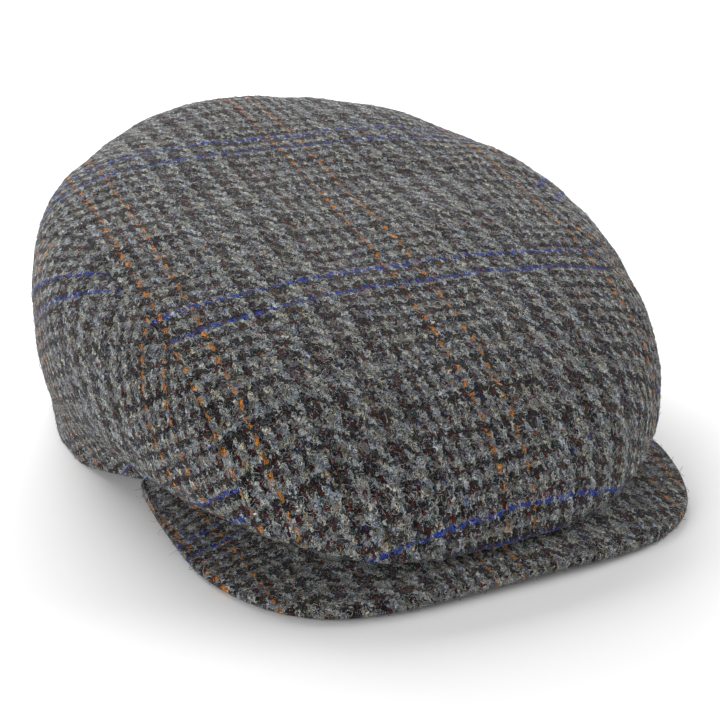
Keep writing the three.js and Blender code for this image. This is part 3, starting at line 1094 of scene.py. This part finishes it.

        # Pale and dark fibres lie side by side in the yarn, painted shade darkens the gaps between threads,
        # and loose fibres lie over it
        (felt, tuft), (loose, carded), (gap_shade_pattern, _) = (self.fibres(tree, cloth, away) for away in self.layers)
        heather = add(range_node, None, ranged(felt, self.heather))
        # The heather's fibre tone times the painted shade at each thread's sides
        shade = add(math_node, {"operation": "MULTIPLY"}, {0: heather.outputs[0], 1: round_it.outputs[0]})
        tint = add(mix_node, {"data_type": "RGBA"}, {0: tuft, 6: linear(self.cool), 7: linear(self.warm)})
        tinted = add(vector_node, {"operation": "MULTIPLY"}, {0: yarn.outputs[2], 1: tint.outputs[2]})
        shaded = add(vector_node, {"operation": "SCALE"}, {0: tinted.outputs[0], "Scale": shade.outputs[0]})
        # Painted shade: near-black patches where the cloth sinks between its threads, fewer on the overcheck
        gap_shade = add(range_node, None, ranged(gap_shade_pattern, self.gap_shade))
        gap_shade_share = add(math_node, {"operation": "MULTIPLY"}, {0: gap_shade.outputs[0], 1: cover.outputs[0]})
        darkened = add(mix_node, {"data_type": "RGBA"},
                       {0: gap_shade_share.outputs[0], 6: shaded.outputs[0], 7: linear(self.gap_shade_colour)})
        stray = add("ShaderNodeValToRGB", None, {"Fac": carded})
        fill_ramp(stray.color_ramp, list(self.carded))
        milled = add(noise_node, None, {"Vector": cloth, "Scale": self.milling_scale, "Detail": 2.0})
        matted = add(math_node, {"operation": "MULTIPLY_ADD"},
                     {0: milled.outputs["Fac"], 1: self.milling, 2: -self.milling / 2})
        felted = add(math_node, {"operation": "ADD"}, {0: loose, 1: matted.outputs[0]})
        lying = add(range_node, None, ranged(felted.outputs[0], self.lying))
        laid = add(math_node, {"operation": "MULTIPLY"}, {0: lying.outputs[0], 1: cover.outputs[0]})
        colour = add(mix_node, {"data_type": "RGBA"},
                     {0: laid.outputs[0], 6: darkened.outputs[2], 7: stray.outputs[0]})

        raised = add(math_node, {"operation": "ADD"}, {0: felt, 1: loose})
        height = add(math_node, {"operation": "MULTIPLY_ADD"},
                     {0: round_it.outputs[0], 1: self.thread_relief, 2: raised.outputs[0]})
        bump = add("ShaderNodeBump", None, {
            "Height": height.outputs[0], "Strength": self.relief_strength, "Distance": self.relief * MM})
        wool = add("ShaderNodeBsdfPrincipled", None, {
            "Base Color": colour.outputs[2], "Roughness": 0.95, "Specular IOR Level": 0.1, "IOR": 1.54,
            "Sheen Weight": 0.15, "Sheen Roughness": 0.5, "Sheen Tint": linear("#c9c9cb"),
            "Normal": bump.outputs[0]})
        tree.links.new(wool.outputs[0], output.inputs["Surface"])
        return made


@dataclass(frozen=True)
class WoolFibre:
    """Single wool fibres, undyed or dyed before carding: mostly pale, with a soft shine."""

    name: str = "Stray wool fibre"
    tones: tuple[tuple[float, str], ...] = (
        (0.0, "#a4a7a9"), (0.4, "#6e7073"), (0.6, "#2c2b2e"), (0.78, "#7d7556"), (0.86, "#5c2320"),
        (0.94, "#8a4a28"), (0.98, "#2a3a78"),
    )

    def material(self) -> bpy.types.Material:
        """Make the material."""
        made, tree, output = new_material(self.name)
        tone = add_node(tree, "ShaderNodeAttribute", {"attribute_name": TONE})
        colour = add_node(tree, "ShaderNodeValToRGB", None, {"Fac": tone.outputs["Fac"]})
        fill_ramp(colour.color_ramp, list(self.tones))
        wool = add_node(tree, "ShaderNodeBsdfPrincipled", None, {
            "Base Color": colour.outputs[0], "Roughness": 0.6, "IOR": 1.54, "Specular IOR Level": 0.3})
        tree.links.new(wool.outputs[0], output.inputs["Surface"])
        return made


@dataclass(frozen=True)
class SoftBox:
    """A square soft light that faces the cap, in metres and watts."""

    name: str
    place: tuple[float, float, float]
    size: float
    power: float


@dataclass(frozen=True)
class Studio:
    """A white floor, soft lights and the camera."""

    shift: float
    room_light: float = 0.26
    boxes: tuple[SoftBox, ...] = (
        SoftBox("soft_box_behind", (0.1, 1.55, 0.9), 1.6, 58.0),
        SoftBox("soft_box_left", (-1.45, -0.7, 0.5), 1.0, 19.0),
        SoftBox("soft_box_right", (1.5, -0.25, 0.6), 1.0, 19.0),
    )
    floor_half: float = 4.0
    floor_level: float = -0.0002
    azimuth: float = math.radians(-26.99)
    elevation: float = math.radians(26)
    distance: float = 1267.5
    magnification: float = 2.78  # pixels for a millimetre at the target
    frame_pixels: float = 720
    sensor: float = 36.0
    target: tuple[float, float, float] = (0.0, -28.82, 50.0)
    offset: tuple[float, float] = (-14.8, -49.5)  # pixels that the target stands off the frame's middle

    def floor(self) -> None:
        """Lay a matt white floor that fills the view."""
        mesh = bpy.data.meshes.new("floor")
        half, level = self.floor_half, self.floor_level
        corners = [(-half, -half, level), (half, -half, level), (half, half, level), (-half, half, level)]
        mesh.from_pydata(corners, [], [(0, 1, 2, 3)])
        paper, tree, output = new_material("White studio paper")
        matt = add_node(tree, "ShaderNodeBsdfPrincipled", None, {
            "Base Color": linear("#f7f7f7"), "Roughness": 1.0, "Specular IOR Level": 0.0})
        tree.links.new(matt.outputs[0], output.inputs["Surface"])
        mesh.materials.append(paper)
        floor = bpy.data.objects.new("floor", mesh)
        bpy.context.scene.collection.objects.link(floor)

    def lights(self) -> None:
        """Set soft boxes behind the cap and at both its sides in an evenly white room."""
        scene = bpy.context.scene
        scene.view_settings.view_transform = "Standard"
        world = bpy.data.worlds.new("white_room")
        world.use_nodes = True
        world.node_tree.nodes["Background"].inputs["Color"].default_value = (1, 1, 1, 1)
        world.node_tree.nodes["Background"].inputs["Strength"].default_value = self.room_light
        scene.world = world
        for box in self.boxes:
            lamp = bpy.data.lights.new(box.name, "AREA")
            lamp.shape, lamp.size, lamp.energy = "SQUARE", box.size, box.power
            hung = bpy.data.objects.new(box.name, lamp)
            hung.location = box.place
            hung.rotation_euler = (-Vector(box.place)).to_track_quat("-Z", "Y").to_euler()
            scene.collection.objects.link(hung)

    def camera(self) -> None:
        """Set the camera at the photograph's angle."""
        a, e = self.azimuth, self.elevation
        back = Vector((math.sin(a) * math.cos(e), -math.cos(a) * math.cos(e), math.sin(e)))
        right = Vector((math.cos(a), math.sin(a), 0))
        up = Vector((-math.sin(a) * math.sin(e), math.cos(a) * math.sin(e), math.cos(e)))
        aim = Vector(self.target) + Vector((0, self.shift, 0))
        aim += (up * self.offset[1] - right * self.offset[0]) / self.magnification
        lens = bpy.data.cameras.new("camera")
        lens.sensor_width = self.sensor
        lens.lens = self.magnification * self.distance * self.sensor / self.frame_pixels
        lens.clip_end = 20
        camera = bpy.data.objects.new("camera", lens)
        camera.location = (aim + back * self.distance) * MM
        camera.rotation_euler = (-back).to_track_quat("-Z", "Y").to_euler()
        bpy.context.scene.collection.objects.link(camera)
        bpy.context.scene.camera = camera


def main() -> None:
    """Build the cap, its stray fibres and the studio."""
    logging.basicConfig(level=logging.INFO, format="%(name)s: %(message)s")
    crown, seam, hand = Crown(), TopSeam(), Hand()
    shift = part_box("peak")[0].y / MM + crown.head_length / 2 + Peak.reach
    studio = Studio(shift)
    studio.camera()
    studio.floor()
    studio.lights()
    crown_tweed = Tweed("Wool tweed, crown").material()
    peak_tweed = Tweed("Wool tweed, peak").material()
    wool = WoolFibre().material()
    top = TopPanel(crown, seam, hand, shift).build(crown_tweed)
    sides = [SidePanel(crown, seam, hand, shift, side).build(crown_tweed) for side in Side]
    peak = Peak(crown, hand, shift).build(peak_tweed)
    StrayFibres("top_fibres", 7600, 3).build(top, shift, wool, "crown_tweed")
    for side, face in zip(Side, sides):
        name = f"{side.name.lower()}_fibres"
        StrayFibres(name, 2500, 17 + side.value).build(face, shift, wool, "crown_tweed")
    StrayFibres("peak_fibres", 2800, 23).build(peak, shift, wool, "peak_tweed")


if __name__ == "__main__":
    main()
